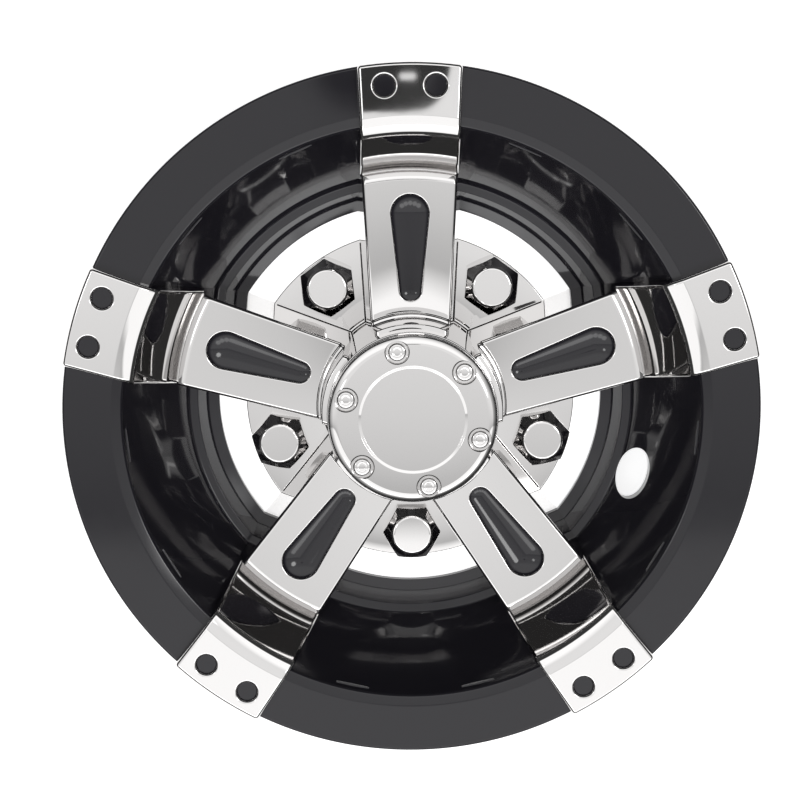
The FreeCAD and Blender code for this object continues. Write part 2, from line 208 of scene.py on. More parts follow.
CLIP_RADIUS = 100.6
CLIP_LEG = 2.2
CLIP_LENGTH = 15.0
CLIP_BARB = 1.6
CLIP_HALF = 6.0
CLIP_SPREAD = math.radians(13.0)
CLIP_SOFT = 0.25


# Lines and surfaces

def rounded_line(corners):
    """Points along a line of radius and height whose corners are rounded."""
    points = []
    count = len(corners)
    for number, (radius, height, size) in enumerate(corners):
        here = np.array((radius, height))
        if size <= 0 or number in (0, count - 1):
            points.append(here)
            continue
        before = np.array(corners[number - 1][:2]) - here
        after = np.array(corners[number + 1][:2]) - here
        before_way = before / np.linalg.norm(before)
        after_way = after / np.linalg.norm(after)
        half = 0.5 * math.acos(np.clip(before_way @ after_way, -1, 1))
        most = SIDE_SHARE * min(np.linalg.norm(before), np.linalg.norm(after))
        reach = min(size / math.tan(half), most)
        size = reach * math.tan(half)
        inward = before_way + after_way
        middle = here + inward / np.linalg.norm(inward) * size / math.sin(half)
        start = here + before_way * reach - middle
        end = here + after_way * reach - middle
        sweep = math.atan2(start[0] * end[1] - start[1] * end[0], start @ end)
        pieces = max(LEAST_PIECES, int(math.ceil(abs(math.degrees(sweep)) / ARC_STEP)))
        for part in range(pieces + 1):
            turn = sweep * part / pieces
            cos = math.cos(turn)
            sin = math.sin(turn)
            way = (cos * start[0] - sin * start[1], sin * start[0] + cos * start[1])
            points.append(middle + np.array(way))
    return np.array(points)


def closed_line(corners):
    """A closed line of radius and height with rounded corners."""
    ring = [corners[-1]] + list(corners) + [corners[0]]
    middle = [(0.5 * (ring[0][0] + ring[1][0]), 0.5 * (ring[0][1] + ring[1][1]), 0.0)]
    last = [(0.5 * (ring[-1][0] + ring[-2][0]), 0.5 * (ring[-1][1] + ring[-2][1]), 0.0)]
    points = rounded_line(middle + ring[1:-1] + last)
    return points[:-1]


class Shape:
    """Corners and faces of a piece while it is put together."""

    def __init__(self):
        self.points = []
        self.leans = []
        self.faces = []
        self.paint = []

    def add(self, point, lean=None):
        self.points.append((float(point[0]), float(point[1]), float(point[2])))
        self.leans.append(lean)
        return len(self.points) - 1

    def face(self, corners, paint=0):
        kept = []
        for corner in corners:
            if corner not in kept:
                kept.append(corner)
        if len(kept) > 2:
            self.faces.append(kept)
            self.paint.append(paint)

    def grid(self, rows, closed_rows=False, closed_columns=False, paint=0):
        count = len(rows)
        width = len(rows[0])
        for number in range(count if closed_rows else count - 1):
            one = rows[number]
            two = rows[(number + 1) % count]
            for place in range(width if closed_columns else width - 1):
                right = (place + 1) % width
                self.face([one[place], one[right], two[right], two[place]], paint)

    def mesh(self, name, merge=MERGE):
        mesh = bpy.data.meshes.new(name)
        mesh.from_pydata([(x * MM, y * MM, z * MM) for x, y, z in self.points], [], self.faces)
        mesh.polygons.foreach_set("material_index", self.paint)
        work = bmesh.new()
        work.from_mesh(mesh)
        bmesh.ops.remove_doubles(work, verts=work.verts, dist=merge * MM)
        bmesh.ops.recalc_face_normals(work, faces=work.faces)
        for face in work.faces:
            face.smooth = True
        work.to_mesh(mesh)
        work.free()
        return mesh


def place(name, mesh, *materials):
    thing = bpy.data.objects.new(name, mesh)
    bpy.context.scene.collection.objects.link(thing)
    for material in materials:
        mesh.materials.append(material)
    return thing


def baked(thing):
    """Turn the modifiers of a thing into plain mesh."""
    bpy.context.view_layer.update()
    mesh = bpy.data.meshes.new_from_object(thing.evaluated_get(bpy.context.evaluated_depsgraph_get()))
    thing.modifiers.clear()
    old = thing.data
    thing.data = mesh
    mesh.name = thing.name
    bpy.data.meshes.remove(old)
    return thing


def even_shading(thing, sharp):
    """Let wide faces decide the shading, so flats stay flat next to their rounded edges."""
    mesh = thing.data
    work = bmesh.new()
    work.from_mesh(mesh)
    limit = math.radians(sharp)
    for edge in work.edges:
        edge.smooth = len(edge.link_faces) == 2 and edge.calc_face_angle(0.0) < limit
    for face in work.faces:
        face.smooth = True
    work.to_mesh(mesh)
    work.free()
    weighted = thing.modifiers.new("even_shading", "WEIGHTED_NORMAL")
    weighted.mode = "FACE_AREA"
    weighted.weight = 80
    weighted.keep_sharp = True
    return baked(thing)


# Copies round the hub axis

def ring_tree():
    tree = bpy.data.node_groups.new("copies_round_hub", "GeometryNodeTree")
    face = tree.interface
    face.new_socket("Geometry", in_out="INPUT", socket_type="NodeSocketGeometry")
    count = face.new_socket("Count", in_out="INPUT", socket_type="NodeSocketInt")
    count.default_value = SPOKES
    first = face.new_socket("First angle", in_out="INPUT", socket_type="NodeSocketFloat")
    step = face.new_socket("Step angle", in_out="INPUT", socket_type="NodeSocketFloat")
    finish = face.new_socket("Finish", in_out="INPUT", socket_type="NodeSocketMaterial")
    face.new_socket("Geometry", in_out="OUTPUT", socket_type="NodeSocketGeometry")
    nodes = tree.nodes
    link = tree.links.new
    given = nodes.new("NodeGroupInput")
    line = nodes.new("GeometryNodeMeshLine")
    line.inputs["Offset"].default_value = (0, 0, 0)
    link(given.outputs["Count"], line.inputs["Count"])
    index = nodes.new("GeometryNodeInputIndex")
    times = nodes.new("ShaderNodeMath")
    times.operation = "MULTIPLY_ADD"
    link(index.outputs[0], times.inputs[0])
    link(given.outputs["Step angle"], times.inputs[1])
    link(given.outputs["First angle"], times.inputs[2])
    turn = nodes.new("ShaderNodeCombineXYZ")
    link(times.outputs[0], turn.inputs["Z"])
    copies = nodes.new("GeometryNodeInstanceOnPoints")
    link(line.outputs["Mesh"], copies.inputs["Points"])
    link(given.outputs["Geometry"], copies.inputs["Instance"])
    link(turn.outputs[0], copies.inputs["Rotation"])
    real = nodes.new("GeometryNodeRealizeInstances")
    link(copies.outputs["Instances"], real.inputs["Geometry"])
    dress = nodes.new("GeometryNodeSetMaterial")
    link(real.outputs["Geometry"], dress.inputs["Geometry"])
    link(given.outputs["Finish"], dress.inputs["Material"])
    out = nodes.new("NodeGroupOutput")
    link(dress.outputs["Geometry"], out.inputs["Geometry"])
    return tree, {"count": count.identifier, "first": first.identifier,
                  "step": step.identifier, "finish": finish.identifier}


RING, RING_INPUTS = ring_tree()


def copies_round_hub(thing, count, first, step, finish):
    copies = thing.modifiers.new("copies_round_hub", "NODES")
    copies.node_group = RING
    copies[RING_INPUTS["count"]] = count
    copies[RING_INPUTS["first"]] = first
    copies[RING_INPUTS["step"]] = step
    copies[RING_INPUTS["finish"]] = finish
    return baked(thing)


# Finishes

def plain_material(name):
    material = bpy.data.materials.new(name)
    material.use_nodes = True
    nodes = material.node_tree.nodes
    return material, nodes, material.node_tree.links.new, nodes["Principled BSDF"]


def chrome_finish():
    material, nodes, link, shader = plain_material("chrome_plate")
    shader.inputs["Metallic"].default_value = 1.0
    shader.inputs["Base Color"].default_value = (0.67, 0.66, 0.655, 1)
    where = nodes.new("ShaderNodeTexCoord")
    haze = nodes.new("ShaderNodeTexNoise")
    haze.inputs["Scale"].default_value = 60.0
    haze.inputs["Detail"].default_value = 3.0
    link(where.outputs["Object"], haze.inputs["Vector"])
    rough = nodes.new("ShaderNodeMapRange")
    rough.inputs["From Min"].default_value = 0.3
    rough.inputs["From Max"].default_value = 0.7
    rough.inputs["To Min"].default_value = 0.015
    rough.inputs["To Max"].default_value = 0.035
    link(haze.outputs["Fac"], rough.inputs["Value"])
    link(rough.outputs["Result"], shader.inputs["Roughness"])
    return material


def black_finish():
    material, nodes, link, shader = plain_material("black_paint")
    shader.inputs["Base Color"].default_value = (0.017, 0.016, 0.0205, 1)
    shader.inputs["IOR"].default_value = 1.45
    where = nodes.new("ShaderNodeTexCoord")
    haze = nodes.new("ShaderNodeTexNoise")
    haze.inputs["Scale"].default_value = 90.0
    haze.inputs["Detail"].default_value = 2.0
    link(where.outputs["Object"], haze.inputs["Vector"])
    rough = nodes.new("ShaderNodeMapRange")
    rough.inputs["From Min"].default_value = 0.3
    rough.inputs["From Max"].default_value = 0.7
    rough.inputs["To Min"].default_value = 0.05
    rough.inputs["To Max"].default_value = 0.08
    link(haze.outputs["Fac"], rough.inputs["Value"])
    link(rough.outputs["Result"], shader.inputs["Roughness"])
    return material


CHROME = chrome_finish()
BLACK = black_finish()


# Spoke line: height of the top of a spoke over each radius

LINE = rounded_line(SPOKE_LINE)


def top_height(radius):
    return float(np.interp(radius, LINE[:, 0], LINE[:, 1]))


def line_leans(line):
    """Ways out of an open line at its points, wide stretches counting most."""
    ahead = np.diff(line, axis=0)
    whole = np.vstack([ahead, np.zeros(2)]) + np.vstack([np.zeros(2), ahead])
    whole /= np.linalg.norm(whole, axis=1)[:, None]
    return np.stack([-whole[:, 1], whole[:, 0]], 1)


LINE_LEANS = line_leans(LINE)


def top_lean(x, y):
    """Way out of the top of a spoke, as a step for each unit of height."""
    radius = math.hypot(x, y)
    out = float(np.interp(radius, LINE[:, 0], LINE_LEANS[:, 0]))
    rise = float(np.interp(radius, LINE[:, 0], LINE_LEANS[:, 1]))
    return np.array((out / rise * x / radius, out / rise * y / radius, 1.0))


def rolled(top, side, turn):
    """Way out of a rounded edge, part of the turn from the top to the side."""
    whole = math.cos(turn) * top + math.sin(turn) * np.asarray(side)
    return whole / np.linalg.norm(whole)


def half_width(radius, height):
    plan = np.interp(radius, [r for r, _ in SPOKE_PLAN], [w for _, w in SPOKE_PLAN])
    return float(plan) + (SPOKE_TOP - height) * DRAFT


# Dish lines, front and back: radius, height, rounding of the corner
DISH_FRONT = [
    (RIM_RADIUS, RIM_HEIGHT, 1.0),
    *SHOULDER,
    (WAIST[0], WAIST[1], 30.0),
    (UPPER_STEP[0], UPPER_STEP[1], 1.2),
    (LOWER_STEP[0], LOWER_STEP[1], 0.4),
    (FLOOR_START[0], FLOOR_START[1], 0.4),
    (WINDOW_RADIUS, LIP_HEIGHT, 0.3),
]
DISH_BACK = [
    (WINDOW_RADIUS, 0.0, 0.2),
    (FLOOR_START[0] + SLOPE_WALL, 0.0, 0.4),
    (LOWER_STEP[0] + SLOPE_WALL, LOWER_STEP[1] - WALL, 0.6),
    (UPPER_STEP[0] + SLOPE_WALL, UPPER_STEP[1] - WALL, 0.6),
    (WAIST[0] + SLOPE_WALL, WAIST[1] - 1, 25.0),
    (SHOULDER[1][0] + SLOPE_WALL, RIM_HEIGHT - WALL, 1.5),
    (RIM_RADIUS - WALL, RIM_HEIGHT - WALL, 0.4),
    (RIM_RADIUS - WALL, RIM_HEIGHT - SKIRT_DEPTH, 0.2),
    (RIM_RADIUS, RIM_HEIGHT - SKIRT_DEPTH, 0.2),
]
FRONT = rounded_line([(RIM_RADIUS, FOOT_LOW, 0.0)] + DISH_FRONT)[::-1]


def dish_height(radius):
    order = np.argsort(FRONT[:, 0], kind="stable")
    return float(np.interp(radius, FRONT[order, 0], FRONT[order, 1]))


def wall_foot(radius):
    """Height at which the side wall of a spoke ends, inside the dish or at the hub plate."""
    if radius < FLOOR_START[0]:
        return HUB_HEIGHT - WALL
    if radius > RIM_RADIUS - WALL:
        return FOOT_LOW
    return max(HUB_HEIGHT - WALL, dish_height(radius) - WALL / 2)


# Dish: one window of it from spoke wall to spoke wall, copied round the hub.

def swept_window(line, name, inset, columns):
    """A closed line of radius and height swept between two spokes, ending inside their walls."""
    shape = Shape()
    rows = []
    for radius, height in line:
        half = half_width(radius, height) - inset
        limit = TURN / 2 - math.asin(min(0.99, half / radius))
        row = []
        for part in range(columns + 1):
            turn = limit * (2 * part / columns - 1)
            row.append(shape.add((radius * math.cos(turn), radius * math.sin(turn), height)))
        rows.append(row)
    shape.grid(rows, closed_rows=True)
    shape.face([row[0] for row in rows])
    shape.face([row[-1] for row in reversed(rows)])
    return place(name, shape.mesh(name))


dish_line = closed_line(DISH_FRONT + DISH_BACK)
dish = swept_window(dish_line, "dish", DISH_TUCK, DISH_COLUMNS)
holed = dish.copy()
holed.data = dish.data.copy()
bpy.context.scene.collection.objects.link(holed)
holed.name = "dish_with_hole"

offset = VALVE_TURN - (FIRST_WINDOW - 2 * TURN)
tool = Shape()
rings = []
for height in VALVE_REACH:
    ring = []
    for part in range(VALVE_STEPS):
        turn = 2 * math.pi * part / VALVE_STEPS
        across = VALVE_HALF * math.sin(turn)
        along = VALVE_RADIAL * math.cos(turn)
        x = (VALVE_RING + along) * math.cos(offset) - across * math.sin(offset)
        y = (VALVE_RING + along) * math.sin(offset) + across * math.cos(offset)
        x += VALVE_LEAN[0] * (height - VALVE_HEIGHT)
        y += VALVE_LEAN[1] * (height - VALVE_HEIGHT)
        ring.append(tool.add((x, y, height)))
    rings.append(ring)
tool.grid(rings, closed_columns=True)
tool.face(rings[0])
tool.face(rings[1])
cutter = place("valve_tool", tool.mesh("valve_tool"))
cut = holed.modifiers.new("valve_hole", "BOOLEAN")
cut.object = cutter
cut.operation = "DIFFERENCE"
cut.solver = "EXACT"
baked(holed)
bpy.data.objects.remove(cutter)

copies_round_hub(dish, SPOKES - 1, FIRST_WINDOW - TURN, TURN, BLACK)
copies_round_hub(holed, 1, FIRST_WINDOW - 2 * TURN, TURN, BLACK)


def joined(name, *things):
    shape = bmesh.new()
    for thing in things:
        shape.from_mesh(thing.data)
    for face in shape.faces:
        face.material_index = 0
    mesh = bpy.data.meshes.new(name)
    shape.to_mesh(mesh)
    shape.free()
    for thing in things:
        bpy.data.objects.remove(thing)
    return place(name, mesh, BLACK)


skirt_line = closed_line([
    (RIM_RADIUS - HAIR, RIM_HEIGHT - SKIRT_DEPTH + HAIR, 0.2),
    (RIM_RADIUS - HAIR, RIM_HEIGHT - SKIRT_ROOT, 0.2),
    (RIM_RADIUS - WALL + HAIR, RIM_HEIGHT - SKIRT_ROOT, 0.2),
    (RIM_RADIUS - WALL + HAIR, RIM_HEIGHT - SKIRT_DEPTH + HAIR, 0.2),
])


def turned(line, name, columns=ROUND_COLUMNS):
    """A closed line of radius and height turned all round the hub axis."""
    shape = Shape()
    rows = []
    for radius, height in line:
        rows.append([shape.add((radius * math.cos(2 * math.pi * part / columns),
                                radius * math.sin(2 * math.pi * part / columns), height))
                     for part in range(columns)])
    shape.grid(rows, closed_rows=True, closed_columns=True)
    return place(name, shape.mesh(name))


skirt = turned(skirt_line, "skirt")
skirt.data.materials.append(BLACK)
dish = joined("black_dish", dish, holed, skirt)


def turned_shading(thing, line):
    """Shade a round piece by the slope of the line it was turned from, and its other faces flat."""
    mesh = thing.data
    count = len(line)
    ahead = np.roll(line, -1, 0) - line
    lengths = np.linalg.norm(ahead, axis=1)
    way = ahead / np.maximum(lengths, TINY)[:, None]
    pull = ahead * (np.maximum(line[:, 0], np.roll(line[:, 0], -1)) > AXIS_GAP)[:, None]
    slope = pull + np.roll(pull, 1, 0)
    slope /= np.maximum(np.linalg.norm(slope, axis=1), TINY)[:, None]
    side = np.stack([slope[:, 1], -slope[:, 0]], 1)
    flat = np.stack([way[:, 1], -way[:, 0]], 1)
    area = 0.5 * np.sum(line[:, 0] * np.roll(line[:, 1], -1) - np.roll(line[:, 0], -1) * line[:, 1])
    if area < 0:
        side = -side
        flat = -flat
    normals = np.zeros((len(mesh.loops), 3))
    places = np.array([v.co for v in mesh.vertices]) / MM
    for face in mesh.polygons:
        own = np.array(face.normal)
        middle = np.array(face.center) / MM
        radius = math.hypot(middle[0], middle[1])
        spot = np.array((radius, middle[2]))
        along = np.clip(np.sum((spot - line) * way, 1), 0, lengths)
        gap = np.linalg.norm(line + way * along[:, None] - spot, axis=1)
        out = np.stack([flat[:, 0] * middle[0] / radius, flat[:, 0] * middle[1] / radius, flat[:, 1]], 1)
        gap = gap + (out @ own < FACING) * TURNED_AWAY
        best = int(np.argmin(gap))
        for loop in face.loop_indices:
            if gap[best] > ON_LINE:
                normals[loop] = own
                continue
            corner = places[mesh.loops[loop].vertex_index]
            reach = math.hypot(corner[0], corner[1])
            if reach < AXIS_GAP:
                normals[loop] = (0, 0, math.copysign(1.0, own[2]))
                continue
            share = (reach - line[best, 0]) * way[best, 0] + (corner[2] - line[best, 1]) * way[best, 1]
            share = min(1.0, max(0.0, share / max(lengths[best], TINY)))
            lean = side[best] * (1 - share) + side[(best + 1) % count] * share
            lean = lean / np.linalg.norm(lean)
            normals[loop] = (lean[0] * corner[0] / reach, lean[0] * corner[1] / reach, lean[1])
    mesh.normals_split_custom_set(normals.tolist())


turned_shading(dish, dish_line)


# Hub plate between the spokes, with a small rounded edge.

plate_line = closed_line([
    (HUB_RADIUS, HUB_HEIGHT, 0.5),
    (COLLAR_FOOT - WALL / 2, HUB_HEIGHT, 0.0),
    (COLLAR_FOOT - WALL / 2, HUB_HEIGHT - WALL, 0.0),
    (HUB_RADIUS, HUB_HEIGHT - WALL, 0.3),
])
hub_plate = swept_window(plate_line, "hub_plate", PLATE_TUCK, PLATE_COLUMNS)
copies_round_hub(hub_plate, SPOKES, FIRST_WINDOW, TURN, CHROME)
turned_shading(hub_plate, plate_line)

# Collar and cap, turned, with six round sinks for the bolt heads.

cap_line = closed_line([
    (AXIS, CAP_HEIGHT - DISC_SINK - WALL, 0.0),
    (COLLAR_TOP - WALL, CAP_HEIGHT - DISC_SINK - WALL, 0.8),
    (COLLAR_TOP - WALL, CAP_HEIGHT - CAP_DEPTH - WALL, 0.5),
    (COLLAR_FOOT - WALL, HUB_HEIGHT - WALL, 0.3),
    (COLLAR_FOOT + COLLAR_FLANGE, HUB_HEIGHT - WALL, 0.0),
    (COLLAR_FOOT + COLLAR_FLANGE, HUB_HEIGHT + HAIR, 0.0),
    (COLLAR_FOOT, HUB_HEIGHT + HAIR, FILLET),
    (COLLAR_TOP, CAP_HEIGHT - CAP_DEPTH, 0.3),
    (CAP_RADIUS, CAP_HEIGHT - CAP_DEPTH, 0.0),
    (CAP_RADIUS, CAP_HEIGHT - 0.9, 0.9),
    (CAP_RADIUS - CAP_ROUND, CAP_HEIGHT, 5.0),
    (DISC_RADIUS + 0.3, CAP_HEIGHT, 0.4),
    (DISC_RADIUS - 0.6, CAP_HEIGHT - DISC_SINK, 0.4),
    (AXIS, CAP_HEIGHT - DISC_SINK, 0.0),
])
cap = turned(cap_line, "hub_cap", CAP_COLUMNS)
cap.data.materials.append(CHROME)
sink = Shape()
for number in range(BOLT_COUNT):
    turn = BOLT_TURN + number * 2 * math.pi / BOLT_COUNT
    middle = (BOLT_RING * math.cos(turn), BOLT_RING * math.sin(turn))
    rings = []
    for radius, height in SINK_LINE:
        ring = []
        for part in range(SINK_STEPS):
            way = 2 * math.pi * part / SINK_STEPS
            ring.append(sink.add((middle[0] + radius * math.cos(way), middle[1] + radius * math.sin(way),
                                  CAP_HEIGHT + height)))
        rings.append(ring)
    sink.grid(rings, closed_columns=True)
    sink.face(rings[0])
    sink.face(rings[-1])
cutter = place("sink_tool", sink.mesh("sink_tool"))
cut = cap.modifiers.new("bolt_sinks", "BOOLEAN")
cut.object = cutter
cut.operation = "DIFFERENCE"
cut.solver = "EXACT"
baked(cap)
bpy.data.objects.remove(cutter)
turned_shading(cap, cap_line)

# Bolt heads: one turned head, copied round the cap.

head_line = rounded_line([
    (BOLT_RADIUS, -0.4, 0.0),
    (BOLT_RADIUS, BOLT_HEIGHT - 0.2, 0.75),
    (1.7, BOLT_HEIGHT, 1.0),
    (1.2, BOLT_HEIGHT - 0.2, 0.3),
    (0.0, BOLT_HEIGHT - 0.1, 0.0),
])
head = Shape()
rows = []
for radius, height in head_line:
    rows.append([head.add((BOLT_RING + radius * math.cos(2 * math.pi * part / BOLT_STEPS),
                           radius * math.sin(2 * math.pi * part / BOLT_STEPS),
                           CAP_HEIGHT - BOLT_SINK_DEPTH + height)) for part in range(BOLT_STEPS)])
head.grid(rows, closed_columns=True)
head.face(rows[0])
bolts = place("bolt_heads", head.mesh("bolt_heads"))
copies_round_hub(bolts, BOLT_COUNT, BOLT_TURN, 2 * math.pi / BOLT_COUNT, CHROME)
even_shading(bolts, CREASE_TURNED)

# Nuts: six flat sides cut by a cone, with a round face, edges softened, copied round the hub plate.

nut = Shape()
turns = sorted(set([math.radians(60 * side + 30) for side in range(6)]
                   + [2 * math.pi * part / NUT_STEPS for part in range(NUT_STEPS)]))
levels = [[] for _ in range(NUT_LEVELS + 2)]
for turn in turns:
    lean = (turn + math.pi / 6) % (math.pi / 3) - math.pi / 6
    side = NUT_FLATS / math.cos(lean)
    for level in range(NUT_LEVELS + 1):
        radius = NUT_FACE + (side - NUT_FACE) * level / NUT_LEVELS
        roll = min(radius - NUT_FACE, NUT_ROLL * math.sin(NUT_LEAN))
        height = NUT_HEIGHT - NUT_ROLL + math.sqrt(NUT_ROLL ** 2 - roll ** 2)
        height -= (radius - NUT_FACE - roll) * math.tan(NUT_LEAN)
        point = (NUT_RING + radius * math.cos(turn), radius * math.sin(turn), HUB_HEIGHT + height)
        levels[level].append(nut.add(point))
    foot = (NUT_RING + side * math.cos(turn), side * math.sin(turn), HUB_HEIGHT - NUT_ROOT)
    levels[-1].append(nut.add(foot))
nut.grid(levels, closed_columns=True)
nut.face(levels[0])
nut.face(levels[-1])
nuts = place("wheel_nuts", nut.mesh("wheel_nuts"))
soft = nuts.modifiers.new("soft_edges", "BEVEL")
soft.width = NUT_SOFT * MM
soft.segments = 3
soft.limit_method = "ANGLE"
soft.angle_limit = NUT_CREASE
copies_round_hub(nuts, SPOKES, FIRST_WINDOW, TURN, CHROME)
even_shading(nuts, CREASE_FLAT)

# Spoke: the top follows the spoke line, a sunk slot and two recesses are part of its skin.

spoke = Shape()


def lifted(x, y, drop):
    return (x, y, top_height(math.hypot(x, y)) - drop)


def on_circle(radius, y):
    return math.sqrt(max(radius * radius - y * y, 0.0))


def edge_rows(radius, sign):
    """Points of the rounded edge and side wall of a spoke at one radius, from the top down."""
    height = top_height(radius)
    half = half_width(radius, height)
    rows = []
    gain = half_width(radius + GAIN_STEP, height) - half_width(radius - GAIN_STEP, height)
    gain = gain / (2 * GAIN_STEP)
    x = on_circle(radius, half)
    side = np.array((-gain, sign * (radius - half * gain) / x, DRAFT))
    for part in range(EDGE_STEPS + 1):
        turn = math.pi / 2 * part / EDGE_STEPS
        y = half - EDGE_ROUND * (1 - math.sin(turn))
        x = on_circle(radius, y)
        point = (x, sign * y, height - EDGE_ROUND * (1 - math.cos(turn)))
        rows.append((point, rolled(top_lean(x, sign * y), side, turn)))
    flat = side / np.linalg.norm(side)
    on_plate = COLLAR_FOOT < radius < HUB_RADIUS
    if on_plate:
        low = HUB_HEIGHT + FILLET
    else:
        low = min(wall_foot(radius), height - EDGE_ROUND - LEAST_WALL)
    for part in range(1, WALL_STEPS + 1):
        level = height - EDGE_ROUND + (low - height + EDGE_ROUND) * part / WALL_STEPS
        y = half_width(radius, level)
        rows.append(((on_circle(radius, y), sign * y, level), flat))
    x = on_circle(radius, y)
    for part in range(1, FILLET_STEPS + 1):
        turn = math.pi / 2 * part / FILLET_STEPS
        if on_plate:
            flare = FILLET * (1 - math.cos(turn))
            level = HUB_HEIGHT + HAIR + FILLET * (1 - math.sin(turn))
            lean = rolled(np.array((0, 0, 1.0)), side, math.pi / 2 - turn)
            rows.append(((x, sign * (y + flare), level), lean))
        else:
            rows.append(((x, sign * y, low - HAIR * part), flat))
    return rows


# radii at which the spoke gets a row of points
stations = [r for r in LINE[:, 0] if r < STRAIGHT_END - END_GAP]
for start, end, count in STATION_RUNS:
    stations += list(np.linspace(start, end, count))
stations = sorted(set(round(float(r), 4) for r in stations))
stations = [r for number, r in enumerate(stations)
            if number == 0 or r - stations[number - 1] > STATION_GAP]


def cross_row(radius):
    height = top_height(radius)
    half = half_width(radius, height) - EDGE_ROUND
    row = []
    for part in range(ACROSS + 1):
        y = half * (2 * part / ACROSS - 1)
        x = on_circle(radius, y)
        row.append(spoke.add((x, y, height), rolled(top_lean(x, y), (0, 0, 1), 0.0)))
    return row


def close_to(radius):
    return min(stations, key=lambda r: abs(r - radius))


slot_from = close_to(SLOT_INNER - SLOT_NARROW - SLOT_MARGIN)
slot_to = close_to(SLOT_OUTER + SLOT_WIDE + SLOT_MARGIN)

# top of the spoke on both sides of the slot
rows = [cross_row(r) for r in stations if r <= slot_from]
spoke.grid(rows)
inner_edge = rows[-1]
rows = [cross_row(r) for r in stations if slot_to <= r <= FLAT_FROM]
spoke.grid(rows)
outer_edge = rows[0]
foot_edge = rows[-1]

# sides of the spoke
for sign in (-1, 1):
    rows = [[spoke.add(point, lean) for point, lean in edge_rows(r, sign)] for r in stations]
    spoke.grid(rows)
    if sign > 0:
        right_rows = rows
    else:
        left_rows = rows


def slot_outline():
    """Half of the slot from its narrow tip: a point of the middle line, the way out and how far."""
    lean = math.asin((SLOT_WIDE - SLOT_NARROW) / (SLOT_OUTER - SLOT_INNER))
    points = []
    for part in range(TIP_STEPS + 1):
        turn = math.pi - part * (math.pi / 2 - lean) / TIP_STEPS
        points.append(((SLOT_INNER, 0.0), (math.cos(turn), math.sin(turn)), SLOT_NARROW))
    side = math.pi / 2 + lean
    for part in range(1, SIDE_STEPS):
        share = part / SIDE_STEPS
        middle = (SLOT_INNER + (SLOT_OUTER - SLOT_INNER) * share, 0.0)
        reach = SLOT_NARROW + (SLOT_WIDE - SLOT_NARROW) * share
        points.append((middle, (math.cos(side), math.sin(side)), reach))
    for part in range(BELLY_STEPS + 1):
        turn = side * (1 - part / BELLY_STEPS)
        points.append(((SLOT_OUTER, 0.0), (math.cos(turn), math.sin(turn)), SLOT_WIDE))
    return points


half_outline = slot_outline()
whole_outline = half_outline + [(m, (w[0], -w[1]), r) for m, w, r in half_outline[-2:0:-1]]

# slot: a rounded chrome edge, then a black trough
slot_rows = []
for part in range(ROLL_STEPS + 1):
    turn = math.pi / 2 * part / ROLL_STEPS
    out = SLOT_ROUND * (1 - math.sin(turn))
    drop = SLOT_ROUND * (1 - math.cos(turn))
    row = []
    for m, w, r in whole_outline:
        x = m[0] + w[0] * (r + out)
        y = m[1] + w[1] * (r + out)
        row.append(spoke.add(lifted(x, y, drop), rolled(top_lean(x, y), (-w[0], -w[1], 0), turn)))
    slot_rows.append(row)
trough_rows = [slot_rows[-1]]
for part in range(BOWL_STEPS + 1):
    share = BOWL_START + (1 - BOWL_START) * part / BOWL_STEPS
    sunk = SLOT_BOWL * (1 - (1 - share) ** 2)
    trough_rows.append([spoke.add(lifted(m[0] + w[0] * r * (1 - share), m[1] + w[1] * r * (1 - share),
                                         SLOT_LIP + sunk * r)) for m, w, r in whole_outline])
spoke.grid(slot_rows, closed_columns=True)
spoke.grid(trough_rows, closed_columns=True, paint=1)

# plate round the slot, out to the edges of the spoke
between = [r for r in stations if slot_from < r < slot_to]
top_ring = slot_rows[0]
border = list(inner_edge)
border += [spoke.add(*edge_rows(r, 1)[0]) for r in between]
border += list(reversed(outer_edge))
border += [spoke.add(*edge_rows(r, -1)[0]) for r in reversed(between)]
plate = bmesh.new()
verts = {}


def plan_vertex(index):
    if index not in verts:
        x, y, _ = spoke.points[index]
        verts[index] = plate.verts.new((x, y, 0.0))
    return verts[index]


loops = []
for loop in (border, top_ring):
    corners = [plan_vertex(i) for i in loop]
    loops += [plate.edges.new((corners[n], corners[(n + 1) % len(corners)])) for n in range(len(corners))]
filled = bmesh.ops.triangle_fill(plate, use_beauty=True, use_dissolve=False, edges=loops)
index_of = {vertex: index for index, vertex in verts.items()}
for item in filled["geom"]:
    if isinstance(item, bmesh.types.BMFace):
        spoke.face([index_of[v] for v in item.verts])
plate.free()

# foot: flat top with two recesses, rounded end with rounded corners
end_half = half_width(STRAIGHT_END, FOOT_HEIGHT)


def end_outline():
    """Plan points of the end of the foot from corner to corner, with the way out of each."""
    right = []
    centre = (on_circle(FOOT_END, end_half - FOOT_CORNER) - FOOT_CORNER, end_half - FOOT_CORNER)
    for part in range(CORNER_STEPS + 1):
        turn = math.pi / 2 * part / CORNER_STEPS
        cos = math.cos(turn)
        sin = math.sin(turn)
        right.append((centre[0] + FOOT_CORNER * sin, centre[1] + FOOT_CORNER * cos, sin, cos))
    left = [(x, -y, a, -b) for x, y, a, b in reversed(right)]
    middle = []
    for part in range(1, END_STEPS):
        y = (end_half - FOOT_CORNER) * (1 - 2 * part / END_STEPS)
        middle.append((on_circle(FOOT_END, y), y, math.cos(math.asin(y / FOOT_END)), y / FOOT_END))
    return right + middle + left


